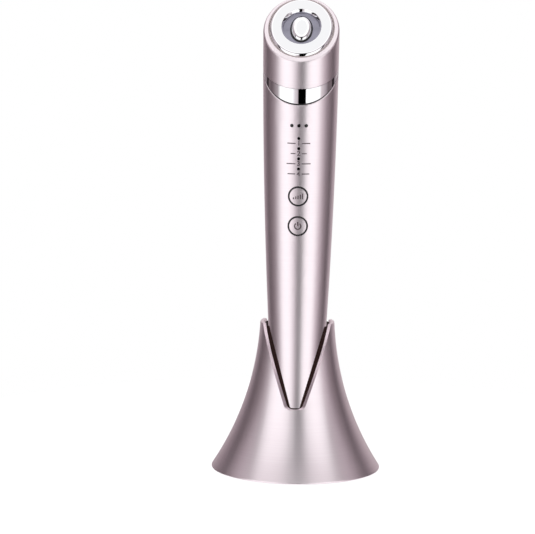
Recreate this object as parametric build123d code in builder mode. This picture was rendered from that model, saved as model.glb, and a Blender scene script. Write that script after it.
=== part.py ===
from build123d import *
import os
from math import atan, cos, hypot, radians, sin, sqrt, tan

os.makedirs("parts", exist_ok=True)

# Radio frequency beauty wand standing in its flared stand, in millimetres.
# The origin is on the table on the wand's axis, +Z is up and the buttons face -Y.

# Stand: flared metal shell
stand_height = 52.9
stand_base_radius = 30.2
stand_rim_radius = 13.1
flare_sag = 3.7  # how far the flare bows towards the axis from a straight line
stand_wall = 1.4  # measured level
shell_lift = 0.2  # the metal edge stays this far above the table
base_edge_radius = 0.45
rim_edge_radius = 0.3

# Stand: the V notch, the same in front and behind
notch_rim_half_width = 12.0
notch_root_half_width = 3.35
notch_draft = 0.8  # each side closes in by this much per millimetre into the wall
notch_root_height = 24.45
notch_root_flat = 0.004056  # half the flat that the corners leave at the root's inner end
notch_reach = 0.2  # how far the cutter passes the inside of the wall at the root
notch_overrun = 7.0  # how far the cutter passes the rim

# Stand: dark lining inside the shell, whose narrower notch edges the metal one
liner_wall = 0.6
liner_rim_drop = 0.9
liner_rim_half_width = 9.95
liner_root_half_width = 1.6
liner_root_rise = 0.3
liner_root_radius = 0.8
liner_foot_gap = 0.1  # above the deck of the cup

# Stand: underside, weight and the cup for the wand
plate_lift = 0.6
plate_thickness = 2.0
plate_gap = 0.1
foot_width = 4.0
foot_inset = 1.0  # from the plate's edge
foot_groove_depth = 0.6
ballast_height = 6.0
ballast_gap = 1.0  # to the shell
cup_floor = 2.4
cup_wall = 1.6
cup_gap = 0.35  # between cup and wand
cup_bond = 0.05
deck_thickness = 2.0
deck_drop = 1.8  # below the root of the notch
boss_radius = 2.4
boss_count = 3
stand_screw_radius = 1.2
stand_screw_length = 14.0
stand_screw_head_radius = 2.2
stand_screw_head_height = 1.0

# Wand: outer form
tail_radius = 8.0
tail_straight_height = 3.0
tail_edge_radius = 2.4
knee_rise = 48.7  # the cone turns into a curve this far above the tail
head_radius = 13.38
face_rise = 13.8  # centre of the slanted face above the head's lower cut
face_tilt = 37.85  # degrees
handle_wall = 1.3
handle_lip_round = 0.45
tail_cap_height = 4.0
tail_cap_floor = 1.8
tail_cap_wall = 1.2
tail_spigot_length = 6.0

# Wand: the bright collar between handle and head
handle_cut_tilt = 40.6
head_cut_rise = 0.14  # above the handle's cut, on the axis
head_cut_tilt = 25.2
collar_groove = 0.5
head_joint_gap = 0.1
sleeve_wall = 1.2
sleeve_depth = 2.75  # into the handle, square to its cut
sleeve_clearance = 0.725  # above the chassis
sleeve_top_drop = 6.3  # below the slanted face, square to it
sleeve_fit = 0.1

# Wand: slanted face and its electrodes, sizes across the face
rim_width = 1.85
rim_round = 1.0
rim_inner_round = 0.35
pocket_depth = 1.2
web_thickness = 1.5
web_hole_radius = 7.6
ring_inner_radius = 6.5
ring_rise = 0.7  # above the rim of the head
ring_outer_round = 1.5
ring_bevel_depth = 1.0
ring_bevel_width = 0.5
ring_bevel_round = 0.3
seal_width = 0.28
seal_drop = 0.1
fit_gap = 0.05
dish_drop = 1.5  # floor of the dish below the crest of the ring
carrier_flange = 1.5
egg_half_width = 3.55
egg_half_length = 5.9
egg_half_height = 1.7
egg_lift = 0.25  # centre of the egg above the dish
stem_radius = 1.5
stem_end = 7.0  # below the slanted face
nut_radius = 2.9
nut_height = 1.8
carrier_screw_place = 9.1
carrier_screw_radius = 0.75
carrier_screw_head_radius = 1.5
carrier_screw_head_height = 1.0
carrier_screw_grip = 1.4  # into the ring

# Wand: buttons and lights, each height above the one before
power_button_rise = 8.0  # above the foot of the boards
level_button_rise = 10.6
button_hole_radius = 3.6
bezel_wall = 0.42
bezel_sink = 0.15
button_gap = 0.15
button_travel = 0.4
guide_half_width = 4.5
guide_margin = 1.2
guide_thickness = 1.0
guide_post_radius = 0.6
flange_thickness = 0.6
flange_overlap = 0.5
button_stem_radius = 0.9
mode_light_rise = 9.7  # lowest of the column
mode_light_pitch = 3.6
mode_light_radius = 0.5
mode_light_count = 4
level_light_rise = 4.5
level_light_pitch = 2.5
level_light_radius = 0.58
level_light_count = 3
light_bar_thickness = 1.0
light_bar_margin = 0.8
light_leg_radius = 0.35
light_gap = 0.1

# Wand: boards, switches and what they carry
board_thickness = 1.0
board_half_width = 7.5
main_board_depth = 5.2  # front face, in front of the axis
rf_board_depth = 2.5  # front face, behind the axis
led_width = 1.6
led_length = 0.8
led_height = 0.6
switch_size = 4.6
switch_height = 1.0
plunger_radius = 0.8
plunger_reach = 0.7
plunger_gap = 0.1  # to the board with the button pressed
transformer_width = 8.0
transformer_depth = 4.4
transformer_height = 10.0
transformer_drop = 9.0  # its top below the top of the board
winding_radius = 1.8

# Wand: chassis, battery and charging
battery_radius = 7.0
battery_length = 43.0
battery_rise = 31.2
battery_gap = 0.2
chassis_gap = 0.25
chassis_wall = 1.2
bulkhead = 1.5
board_margin = 2.7  # boards above the upper lights
wire_window_radius = 5.5
wire_window_place = 2.75  # behind the axis
socket_width = 8.94
socket_thickness = 3.26
socket_length = 7.3
socket_wall = 0.3
socket_base = 1.0
socket_recess = 0.3
socket_gap = 0.1
socket_tongue_width = 6.4
socket_tongue_thickness = 0.65
charge_board_gap = 0.12  # to the bore of the tail cap
charge_board_length = 17.0
wire_radius = 0.45
lead_hole_radius = 0.9
power_lead_x = 2.35
power_lead_rise = 5.0
power_lead_bend = 1.5
lead_x = 2.2
lead_rise = 10.0
lead_bend = 4.0
lead_tight_bend = 2.0
stem_lead_run = 5.0
screw_lead_run = 1.2
chassis_screw_place = 8.5
chassis_screw_radius = 0.8
chassis_screw_length = 6.0
chassis_screw_head_radius = 1.5
chassis_screw_head_height = 1.1
chassis_boss_radius = 2.3
chassis_boss_length = 14.0


# Forms that several pieces share

flare_chord = hypot(stand_base_radius - stand_rim_radius, stand_height - shell_lift)
flare_arc_radius = flare_chord**2 / (8 * flare_sag) + flare_sag / 2
flare_lean = (stand_base_radius - stand_rim_radius) / flare_chord
flare_rise = (stand_height - shell_lift) / flare_chord
flare_centre_radius = (stand_base_radius + stand_rim_radius) / 2
flare_centre_radius += (flare_arc_radius - flare_sag) * flare_rise
flare_centre_height = (stand_height + shell_lift) / 2 + (flare_arc_radius - flare_sag) * flare_lean


def flare_radius(height):
    """Outer radius of the stand at a height above the table."""
    return flare_centre_radius - sqrt(flare_arc_radius**2 - (height - flare_centre_height) ** 2)


wand_foot = plate_lift + plate_thickness + cup_floor
tail_straight = wand_foot + tail_straight_height
knee_height = wand_foot + knee_rise

battery_bottom = wand_foot + battery_rise
battery_top = battery_bottom + battery_length
bay_bottom = battery_top + battery_gap + bulkhead
power_button_height = bay_bottom + power_button_rise
level_button_height = power_button_height + level_button_rise
button_heights = [level_button_height, power_button_height]
mode_light_places = [
    (0, level_button_height + mode_light_rise + index * mode_light_pitch) for index in range(mode_light_count)
]
level_light_height = mode_light_places[-1][1] + level_light_rise
level_light_places = [
    ((index - (level_light_count - 1) / 2) * level_light_pitch, level_light_height)
    for index in range(level_light_count)
]
bay_top = level_light_height + board_margin
board_bay = bay_top - bay_bottom
chassis_top = bay_top + bulkhead
sleeve_bottom = chassis_top + sleeve_clearance
handle_cut_height = sleeve_bottom + (head_radius - handle_wall) * tan(radians(handle_cut_tilt))
handle_cut_height += sleeve_depth / cos(radians(handle_cut_tilt))
head_cut_height = handle_cut_height + head_cut_rise
face_height = head_cut_height + face_rise
wand_top = face_height + head_radius * tan(radians(face_tilt))
wand_taper = (head_radius - tail_radius) / ((wand_top - knee_height) / 2 + knee_height - tail_straight)


def wand_slope(height):
    """How fast the wand's radius grows with height."""
    if height <= knee_height:
        return wand_taper
    return wand_taper * (wand_top - height) / (wand_top - knee_height)


def wand_radius(height):
    """Outer radius of the wand: a cone up to the knee, then a curve that ends upright."""
    knee_radius = head_radius - wand_taper * (wand_top - knee_height) / 2
    if height <= knee_height:
        return knee_radius - wand_taper * (knee_height - height)
    return head_radius - wand_slope(height) * (wand_top - height) / 2


def wand_section(bottom, top, inset=0.0):
    """Half section of a round body that follows the wand's outside, set in by inset."""
    with BuildSketch(Plane.XZ) as section:
        with BuildLine():
            low_edge = wand_radius(bottom) - inset
            high_edge = wand_radius(top) - inset
            if top <= knee_height:
                Line((low_edge, bottom), (high_edge, top))
            else:
                start = max(bottom, knee_height)
                start_edge = wand_radius(start) - inset
                lead = start_edge + wand_slope(start) * (top - start) / 2
                if bottom < knee_height:
                    Line((low_edge, bottom), (start_edge, start))
                Bezier((start_edge, start), (lead, (start + top) / 2), (high_edge, top))
            Line((high_edge, top), (0, top))
            Line((0, top), (0, bottom))
            Line((0, bottom), (low_edge, bottom))
        make_face()
    return section.sketch


def slanted_plane(height, tilt):
    """Plane across the wand at a height on its axis, lower in front by tilt degrees."""
    normal = (0, -sin(radians(tilt)), cos(radians(tilt)))
    return Plane(origin=(0, 0, height), x_dir=(1, 0, 0), z_dir=normal)


def face_ellipse(radius, mode=Mode.ADD):
    """Outline on the slanted face that is a circle seen along the wand."""
    return Ellipse(radius, radius / cos(radians(face_tilt)), mode=mode)


def front_plane(depth):
    """Upright plane facing the buttons, at a depth in front of the axis."""
    return Plane.XZ.offset(depth)


handle_bottom = wand_foot + tail_cap_height
handle_cut = slanted_plane(handle_cut_height, handle_cut_tilt)
head_cut = slanted_plane(head_cut_height, head_cut_tilt)
pocket_radius = head_radius - rim_width
ring_outer_radius = pocket_radius - seal_width
face_plane = slanted_plane(face_height, face_tilt)
face_axis = Axis(face_plane.origin, face_plane.z_dir)

# Stand

root_fall = stand_height - notch_root_height
notch_lean = (notch_rim_half_width - notch_root_half_width) / root_fall
rim_edge_depth = sqrt(stand_rim_radius**2 - notch_rim_half_width**2)
root_edge_depth = sqrt(flare_radius(notch_root_height) ** 2 - notch_root_half_width**2)
root_near_depth = root_edge_depth - stand_wall - notch_reach
root_near_half_width = notch_root_half_width - notch_draft * (root_edge_depth - root_near_depth)
draft_angle = atan(notch_draft)
side_lean = notch_lean + notch_draft * (root_edge_depth - rim_edge_depth) / root_fall
side_angle = atan(side_lean * cos(draft_angle))
notch_corner_radius = (root_near_half_width - notch_root_flat) * cos(draft_angle)
notch_corner_radius /= tan((radians(90) - side_angle) / 2)


def notch_outline(height):
    """Level section of the notch's cutter, in front of the wand."""
    fall = stand_height - height
    edge_depth = rim_edge_depth + (root_edge_depth - rim_edge_depth) * fall / root_fall
    near_depth = root_near_depth * fall / root_fall
    edge_half_width = notch_rim_half_width - notch_lean * fall
    near_half_width = edge_half_width + notch_draft * (near_depth - edge_depth)
    far_half_width = edge_half_width + notch_draft * (stand_base_radius - edge_depth)
    with BuildSketch(Plane.XY.offset(height)) as outline:
        Polygon(
            (near_half_width, -near_depth),
            (-near_half_width, -near_depth),
            (-far_half_width, -stand_base_radius),
            (far_half_width, -stand_base_radius),
            align=None,
        )
    return outline.sketch


with BuildPart() as notch_cutter:
    loft([notch_outline(notch_root_height), notch_outline(stand_height + notch_overrun)], ruled=True)
    root_edges = notch_cutter.faces().sort_by(Axis.Z)[0].edges().filter_by(Axis.X, reverse=True)
    fillet(root_edges, notch_corner_radius)

with BuildPart() as stand_shell:
    with BuildSketch(Plane.XZ):
        with BuildLine():
            outside = SagittaArc((stand_base_radius, shell_lift), (stand_rim_radius, stand_height), flare_sag)
            inside = SagittaArc(
                (stand_base_radius - stand_wall, shell_lift),
                (stand_rim_radius - stand_wall, stand_height),
                flare_sag,
            )
            Line(outside @ 0, inside @ 0)
            Line(outside @ 1, inside @ 1)
        make_face()
    revolve(axis=Axis.Z)
    base_face = stand_shell.faces().filter_by(Plane.XY).sort_by(Axis.Z)[0]
    fillet(base_face.edges().sort_by(SortBy.LENGTH)[-1], base_edge_radius)
    fillet(stand_shell.faces().filter_by(Plane.XY).sort_by(Axis.Z)[-1].edges(), rim_edge_radius)
    add(notch_cutter.part, mode=Mode.SUBTRACT)
    mirror(notch_cutter.part, about=Plane.XZ, mode=Mode.SUBTRACT)
stand_shell.part.label = "stand_shell"
export_step(stand_shell.part, "parts/stand_shell.step")

plate_top = plate_lift + plate_thickness
plate_radius = flare_radius(plate_top) - stand_wall - plate_gap
foot_outer_radius = plate_radius - foot_inset
ballast_top = plate_top + ballast_height
deck_top = notch_root_height - deck_drop
deck_bottom = deck_top - deck_thickness
deck_radius = flare_radius(deck_top) - stand_wall - cup_bond
cup_outset = cup_gap + cup_wall
boss_circle = (wand_radius(deck_top) + cup_outset + deck_radius) / 2

liner_bottom = deck_top + liner_foot_gap
liner_top = stand_height - liner_rim_drop
liner_heights = (liner_bottom, (liner_bottom + liner_top) / 2, liner_top)
liner_inset = stand_wall + cup_bond
with BuildPart() as stand_liner:
    with BuildSketch(Plane.XZ):
        with BuildLine():
            outside = ThreePointArc([(flare_radius(height) - liner_inset, height) for height in liner_heights])
            inside = ThreePointArc(
                [(flare_radius(height) - liner_inset - liner_wall, height) for height in liner_heights]
            )
            Line(outside @ 0, inside @ 0)
            Line(outside @ 1, inside @ 1)
        make_face()
    revolve(axis=Axis.Z)
    with BuildSketch(Plane.XZ) as liner_notch:
        Polygon(
            (-liner_root_half_width, notch_root_height + liner_root_rise),
            (liner_root_half_width, notch_root_height + liner_root_rise),
            (liner_rim_half_width, stand_height),
            (-liner_rim_half_width, stand_height),
            align=None,
        )
        fillet(liner_notch.vertices().sort_by(Axis.Z)[:2], liner_root_radius)
    extrude(amount=stand_base_radius, both=True, mode=Mode.SUBTRACT)
stand_liner.part.label = "stand_liner"
export_step(stand_liner.part, "parts/stand_liner.step")

with BuildPart() as stand_base_plate:
    with BuildSketch(Plane.XY.offset(plate_lift)):
        Circle(plate_radius)
    extrude(amount=plate_thickness)
    with BuildSketch(Plane.XY.offset(plate_lift)):
        Circle(foot_outer_radius)
        Circle(foot_outer_radius - foot_width, mode=Mode.SUBTRACT)
    extrude(amount=foot_groove_depth, mode=Mode.SUBTRACT)
    with BuildSketch(Plane.XY.offset(plate_lift)):
        with PolarLocations(boss_circle, boss_count, start_angle=90):
            Circle(stand_screw_radius + fit_gap)
    extrude(amount=plate_thickness, mode=Mode.SUBTRACT)
    with BuildSketch(Plane.XY.offset(plate_lift)):
        with PolarLocations(boss_circle, boss_count, start_angle=90):
            Circle(stand_screw_head_radius + fit_gap)
    extrude(amount=stand_screw_head_height, mode=Mode.SUBTRACT)
stand_base_plate.part.label = "stand_base_plate"
export_step(stand_base_plate.part, "parts/stand_base_plate.step")

with BuildPart() as stand_foot_ring:
    with BuildSketch(Plane.XY):
        Circle(foot_outer_radius)
        Circle(foot_outer_radius - foot_width, mode=Mode.SUBTRACT)
    extrude(amount=plate_lift + foot_groove_depth)
stand_foot_ring.part.label = "stand_foot_ring"
export_step(stand_foot_ring.part, "parts/stand_foot_ring.step")

with BuildPart() as stand_ballast:
    with BuildSketch(Plane.XY.offset(plate_top)):
        Circle(flare_radius(ballast_top) - stand_wall - ballast_gap)
        Circle(wand_radius(ballast_top) + cup_outset + fit_gap, mode=Mode.SUBTRACT)
        with PolarLocations(boss_circle, boss_count, start_angle=90):
            Circle(stand_screw_radius + fit_gap, mode=Mode.SUBTRACT)
    extrude(amount=ballast_height)
stand_ballast.part.label = "stand_ballast"
export_step(stand_ballast.part, "parts/stand_ballast.step")

screw_seat = plate_lift + stand_screw_head_height
with BuildPart() as stand_cradle:
    revolve(wand_section(plate_top, deck_top, -cup_outset), axis=Axis.Z)
    with BuildSketch(Plane.XY.offset(deck_bottom)):
        Circle(deck_radius)
    extrude(amount=deck_thickness)
    with BuildSketch(Plane.XY.offset(ballast_top)):
        with PolarLocations(boss_circle, boss_count, start_angle=90):
            Circle(boss_radius)
    extrude(amount=deck_bottom - ballast_top)
    revolve(wand_section(wand_foot, deck_top, -cup_gap), axis=Axis.Z, mode=Mode.SUBTRACT)
    with BuildSketch(Plane.XY.offset(ballast_top)):
        with PolarLocations(boss_circle, boss_count, start_angle=90):
            Circle(stand_screw_radius + fit_gap)
    extrude(amount=screw_seat + stand_screw_length + fit_gap - ballast_top, mode=Mode.SUBTRACT)
stand_cradle.part.label = "stand_cradle"
export_step(stand_cradle.part, "parts/stand_cradle.step")

with BuildPart() as stand_screws:
    with BuildSketch(Plane.XY.offset(plate_lift)):
        with PolarLocations(boss_circle, boss_count, start_angle=90):
            Circle(stand_screw_head_radius)
    extrude(amount=stand_screw_head_height)
    with BuildSketch(Plane.XY.offset(screw_seat)):
        with PolarLocations(boss_circle, boss_count, start_angle=90):
            Circle(stand_screw_radius)
    extrude(amount=stand_screw_length)
stand_screws.part.label = "stand_screws"
export_step(stand_screws.part, "parts/stand_screws.step")

# Wand: outer pieces

with BuildPart() as handle_shell:
    revolve(wand_section(handle_bottom, wand_top), axis=Axis.Z)
    revolve(wand_section(handle_bottom, wand_top, handle_wall), axis=Axis.Z, mode=Mode.SUBTRACT)
    split(bisect_by=handle_cut.offset(-collar_groove), keep=Keep.BOTTOM)
    lip = handle_shell.faces().sort_by(Axis.Z)[-1].edges().sort_by(SortBy.LENGTH)[-1]
    fillet(lip, handle_lip_round)
    with BuildSketch(front_plane(0)):
        with Locations(*[(0, height) for height in button_heights]):
            Circle(button_hole_radius)
        with Locations(*level_light_places):
            Circle(level_light_radius + fit_gap)
        with Locations(*mode_light_places):
            Circle(mode_light_radius + fit_gap)
    extrude(amount=2 * head_radius, mode=Mode.SUBTRACT)
handle_shell.part.label = "handle_shell"
export_step(handle_shell.part, "parts/handle_shell.step")

spigot_top = handle_bottom + tail_spigot_length
spigot_radius = wand_radius(handle_bottom) - handle_wall - fit_gap
spigot_bore_radius = spigot_radius - tail_cap_wall
with BuildPart() as tail_cap:
    revolve(wand_section(wand_foot, handle_bottom), axis=Axis.Z)
    fillet(tail_cap.faces().sort_by(Axis.Z)[0].edges(), tail_edge_radius)
    with BuildSketch(Plane.XY.offset(handle_bottom)):
        Circle(spigot_radius)
    extrude(amount=tail_spigot_length)
    with BuildSketch(Plane.XY.offset(wand_foot + tail_cap_floor)):
        Circle(spigot_bore_radius)
    extrude(amount=spigot_top - wand_foot - tail_cap_floor, mode=Mode.SUBTRACT)
    with BuildSketch(Plane.XY.offset(wand_foot)):
        SlotOverall(socket_width + 2 * socket_gap, socket_thickness + 2 * socket_gap)
    extrude(amount=tail_cap_floor, mode=Mode.SUBTRACT)
tail_cap.part.label = "tail_cap"
export_step(tail_cap.part, "parts/tail_cap.step")

sleeve_radius = wand_radius(sleeve_bottom) - handle_wall - sleeve_fit
head_bore_radius = sleeve_radius + sleeve_fit
with BuildPart() as collar_sleeve:
    with BuildSketch(Plane.XY.offset(knee_height)):
        Circle(sleeve_radius)
        Circle(sleeve_radius - sleeve_wall, mode=Mode.SUBTRACT)
    extrude(amount=wand_top - knee_height)
    split(bisect_by=handle_cut.offset(-sleeve_depth), keep=Keep.TOP)
    split(bisect_by=face_plane.offset(-sleeve_top_drop), keep=Keep.BOTTOM)

with BuildPart() as collar_wedge:
    revolve(wand_section(knee_height, wand_top), axis=Axis.Z)
    with BuildSketch(Plane.XY.offset(knee_height)):
        Circle(sleeve_radius - sleeve_wall)
    extrude(amount=wand_top - knee_height, mode=Mode.SUBTRACT)
    split(bisect_by=handle_cut, keep=Keep.TOP)
    split(bisect_by=head_cut, keep=Keep.BOTTOM)
    add(collar_sleeve.part)
    with BuildSketch(Plane.XY.offset(chassis_top)):
        with Locations((chassis_screw_place, 0), (-chassis_screw_place, 0)):
            Circle(chassis_boss_radius)
    extrude(amount=chassis_boss_length)
    with BuildSketch(Plane.XY.offset(chassis_top)):
        with Locations((chassis_screw_place, 0), (-chassis_screw_place, 0)):
            Circle(chassis_screw_radius + fit_gap)
    extrude(amount=chassis_screw_length, mode=Mode.SUBTRACT)
collar_wedge.part.label = "collar_wedge"
export_step(collar_wedge.part, "parts/collar_wedge.step")

# The head's bore runs up to a slanted web that carries the electrodes.
web_bottom = pocket_depth + web_thickness
flange_bottom = web_bottom + carrier_flange
with BuildPart() as head_bore:
    with BuildSketch(Plane.XY.offset(knee_height)):
        Circle(head_bore_radius)
    extrude(amount=wand_top - knee_height)
    split(bisect_by=face_plane.offset(-web_bottom), keep=Keep.BOTTOM)

carrier_screw_places = [(carrier_screw_place, 0), (-carrier_screw_place, 0)]
with BuildPart() as head_shell:
    revolve(wand_section(knee_height, wand_top), axis=Axis.Z)
    split(bisect_by=handle_cut.offset(head_joint_gap), keep=Keep.TOP)
    split(bisect_by=head_cut.offset(head_joint_gap), keep=Keep.TOP)
    split(bisect_by=face_plane, keep=Keep.BOTTOM)
    fillet(head_shell.faces().sort_by(face_axis)[-1].edges(), rim_round)
    add(head_bore.part, mode=Mode.SUBTRACT)
    with BuildSketch(face_plane):
        face_ellipse(pocket_radius)
    extrude(amount=-pocket_depth, mode=Mode.SUBTRACT)
    rim_face = head_shell.faces().sort_by(face_axis)[-1]
    fillet(rim_face.edges().sort_by(SortBy.LENGTH)[0], rim_inner_round)
    with BuildSketch(face_plane):
        face_ellipse(web_hole_radius)
        with Locations(*carrier_screw_places):
            Circle(carrier_screw_radius + fit_gap)
    extrude(amount=-flange_bottom, mode=Mode.SUBTRACT)
head_shell.part.label = "head_shell"
export_step(head_shell.part, "parts/head_shell.step")

with BuildPart() as outer_electrode:
    with BuildSketch(face_plane.offset(-pocket_depth)):
        face_ellipse(ring_outer_radius)
        face_ellipse(ring_inner_radius, mode=Mode.SUBTRACT)
    extrude(amount=pocket_depth + ring_rise)
    crest = outer_electrode.faces().sort_by(face_axis)[-1]
    fillet(crest.edges().sort_by(SortBy.LENGTH)[-1], ring_outer_round)
    crest = outer_electrode.faces().sort_by(face_axis)[-1]
    mouth = crest.edges().sort_by(SortBy.LENGTH)[0]
    chamfer(mouth, ring_bevel_width, ring_bevel_depth, reference=crest)
    crest = outer_electrode.faces().sort_by(face_axis)[-1]
    fillet(crest.edges().sort_by(SortBy.LENGTH)[0], ring_bevel_round)
    with BuildSketch(face_plane.offset(-pocket_depth)):
        with Locations(*carrier_screw_places):
            Circle(carrier_screw_radius + fit_gap)
    extrude(amount=carrier_screw_grip + fit_gap, mode=Mode.SUBTRACT)
outer_electrode.part.label = "outer_electrode"
export_step(outer_electrode.part, "parts/outer_electrode.step")

with BuildPart() as electrode_seal:
    with BuildSketch(face_plane.offset(-pocket_depth)):
        face_ellipse(pocket_radius - fit_gap)
        face_ellipse(ring_outer_radius + fit_gap, mode=Mode.SUBTRACT)
    extrude(amount=pocket_depth - seal_drop)
electrode_seal.part.label = "electrode_seal"
export_step(electrode_seal.part, "parts/electrode_seal.step")

# The carrier's flange fills the bore behind the web, and its front is the grey dish.
dish_floor = ring_rise - dish_drop
with BuildPart() as electrode_carrier:
    with BuildSketch(Plane.XY.offset(knee_height)):
        Circle(sleeve_radius)
    extrude(amount=wand_top - knee_height)
    split(bisect_by=face_plane.offset(-web_bottom), keep=Keep.BOTTOM)
    split(bisect_by=face_plane.offset(-flange_bottom), keep=Keep.TOP)
    with BuildSketch(face_plane.offset(-web_bottom)):
        face_ellipse(web_hole_radius - fit_gap)
    extrude(amount=web_thickness)
    with BuildSketch(face_plane.offset(-pocket_depth)):
        face_ellipse(ring_inner_radius - fit_gap)
    extrude(amount=pocket_depth + dish_floor)
    with BuildSketch(face_plane.offset(-flange_bottom)):
        Circle(stem_radius + fit_gap)
        with Locations(*carrier_screw_places):
            Circle(carrier_screw_radius + fit_gap)
    extrude(amount=flange_bottom + dish_floor, mode=Mode.SUBTRACT)
electrode_carrier.part.label = "electrode_carrier"
export_step(electrode_carrier.part, "parts/electrode_carrier.step")

# The egg lies along the slope of the face with its underside cut flat on the dish.
egg_centre = face_plane.offset(dish_floor + egg_lift)
egg_stretch = (1, egg_half_length / egg_half_width, egg_half_height / egg_half_width)
with BuildPart() as centre_electrode:
    add(egg_centre.location * scale(Sphere(egg_half_width, mode=Mode.PRIVATE), by=egg_stretch))
    split(bisect_by=face_plane.offset(dish_floor), keep=Keep.TOP)
    with BuildSketch(face_plane.offset(dish_floor)):
        Circle(stem_radius)
    extrude(amount=-(dish_floor + stem_end))
centre_electrode.part.label = "centre_electrode"
export_step(centre_electrode.part, "parts/centre_electrode.step")

with BuildPart() as electrode_nut:
    with BuildSketch(face_plane.offset(-flange_bottom)):
        RegularPolygon(nut_radius, 6)
        Circle(stem_radius + fit_gap, mode=Mode.SUBTRACT)
    extrude(amount=-nut_height)
electrode_nut.part.label = "electrode_nut"
export_step(electrode_nut.part, "parts/electrode_nut.step")

with BuildPart() as carrier_screws:
    with BuildSketch(face_plane.offset(-flange_bottom)):
        with Locations(*carrier_screw_places):
            Circle(carrier_screw_radius)
    extrude(amount=carrier_flange + web_thickness + carrier_screw_grip)
    with BuildSketch(face_plane.offset(-flange_bottom)):
        with Locations(*carrier_screw_places):
            Circle(carrier_screw_head_radius)
    extrude(amount=-carrier_screw_head_height)
carrier_screws.part.label = "carrier_screws"
export_step(carrier_screws.part, "parts/carrier_screws.step")

# Wand: buttons, with depths measured in front of the axis

guide_low = power_button_height - button_hole_radius - guide_margin
guide_high = level_button_height + button_hole_radius + guide_margin
guide_front = sqrt((wand_radius(guide_low) - handle_wall) ** 2 - guide_half_width**2) - chassis_gap
guide_back = guide_front - guide_thickness
bezel_outer_radius = button_hole_radius - fit_gap
bezel_inner_radius = bezel_outer_radius - bezel_wall
cap_radius = bezel_inner_radius - button_gap
cap_flange_front = guide_back - button_gap
cap_flange_back = cap_flange_front - flange_thickness
switch_front = main_board_depth + switch_height
plunger_front = switch_front + plunger_reach
plunger_back = main_board_depth + plunger_gap + button_travel

with BuildPart() as button_guide:
    with BuildSketch(front_plane(guide_back)):
        with Locations((0, (guide_low + guide_high) / 2)):
            Rectangle(2 * guide_half_width, guide_high - guide_low)
    extrude(amount=guide_thickness)
    with BuildSketch(front_plane(guide_front)):
        with Locations(*[(0, height) for height in button_heights]):
            Circle(bezel_outer_radius)
    extrude(amount=head_radius)
    with BuildSketch(front_plane(guide_back)):
        with Locations(*[(0, height) for height in button_heights]):
            Circle(bezel_inner_radius)
    extrude(amount=2 * head_radius, mode=Mode.SUBTRACT)
    with BuildSketch(front_plane(guide_back)):
        for height in (guide_low + guide_post_radius, guide_high - guide_post_radius):
            for side in (-1, 1):
                with Locations((side * (guide_half_width - guide_post_radius), height)):
                    Circle(guide_post_radius)
    extrude(amount=main_board_depth - guide_back)
    revolve(wand_section(handle_bottom, wand_top, bezel_sink), axis=Axis.Z, mode=Mode.INTERSECT)
button_guide.part.label = "button_guide"
export_step(button_guide.part, "parts/button_guide.step")


def button_cap(height):
    """Round metal cap, flush with the handle, with a flange behind the guide and a stem."""
    with BuildPart() as cap:
        with BuildSketch(front_plane(cap_flange_front)):
            with Locations((0, height)):
                Circle(cap_radius)
        extrude(amount=head_radius)
        revolve(wand_section(handle_bottom, wand_top), axis=Axis.Z, mode=Mode.INTERSECT)
        with BuildSketch(front_plane(cap_flange_back)):
            with Locations((0, height)):
                Circle(bezel_inner_radius + flange_overlap)
        extrude(amount=flange_thickness)
        with BuildSketch(front_plane(plunger_front)):
            with Locations((0, height)):
                Circle(button_stem_radius)
        extrude(amount=cap_flange_back - plunger_front)
    return cap.part


def switch_body(height):
    """Low square switch on the main board, with a hole for its plunger."""
    with BuildPart() as body:
        with BuildSketch(front_plane(main_board_depth)):
            with Locations((0, height)):
                Rectangle(switch_size, switch_size)
                Circle(plunger_radius + fit_gap, mode=Mode.SUBTRACT)
        extrude(amount=switch_height)
    return body.part


def switch_plunger(height):
    """Plunger that moves with its button's stem."""
    with BuildPart() as plunger:
        with BuildSketch(front_plane(plunger_back)):
            with Locations((0, height)):
                Circle(plunger_radius)
        extrude(amount=plunger_front - plunger_back)
    return plunger.part


level_button_cap = button_cap(level_button_height)
level_button_cap.label = "level_button_cap"
export_step(level_button_cap, "parts/level_button_cap.step")

power_button_cap = button_cap(power_button_height)
power_button_cap.label = "power_button_cap"
export_step(power_button_cap, "parts/power_button_cap.step")

level_switch = switch_body(level_button_height)
level_switch.label = "level_switch"
export_step(level_switch, "parts/level_switch.step")

power_switch = switch_body(power_button_height)
power_switch.label = "power_switch"
export_step(power_switch, "parts/power_switch.step")

level_switch_plunger = switch_plunger(level_button_height)
level_switch_plunger.label = "level_switch_plunger"
export_step(level_switch_plunger, "parts/level_switch_plunger.step")

power_switch_plunger = switch_plunger(power_button_height)
power_switch_plunger.label = "power_switch_plunger"
export_step(power_switch_plunger, "parts/power_switch_plunger.step")

# Wand: light guides. Clear pins run from the lights on the board out through the handle.

led_front = main_board_depth + led_height


def light_guide(pin_places, pin_radius, leg_places, bar_half_width, bar_half_height):
    """Pins joined by a bar behind the handle's wall, on short legs that stand on the board."""
    middle = (pin_places[0][1] + pin_places[-1][1]) / 2
    inner_radius = wand_radius(middle - bar_half_height) - handle_wall
    bar_front = sqrt(inner_radius**2 - bar_half_width**2) - chassis_gap
    bar_back = bar_front - light_bar_thickness
    with BuildPart() as guide:
        with BuildSketch(front_plane(bar_back)):
            with Locations((0, middle)):
                Rectangle(2 * bar_half_width, 2 * bar_half_height)
        extrude(amount=light_bar_thickness)
        with BuildSketch(front_plane(led_front + light_gap)):
            with Locations(*pin_places):
                Circle(pin_radius)
        extrude(amount=head_radius)
        with BuildSketch(front_plane(main_board_depth)):
            with Locations(*leg_places):
                Circle(light_leg_radius)
        extrude(amount=bar_back - main_board_depth)
        revolve(wand_section(handle_bottom, wand_top), axis=Axis.Z, mode=Mode.INTERSECT)
    return guide.part


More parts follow.
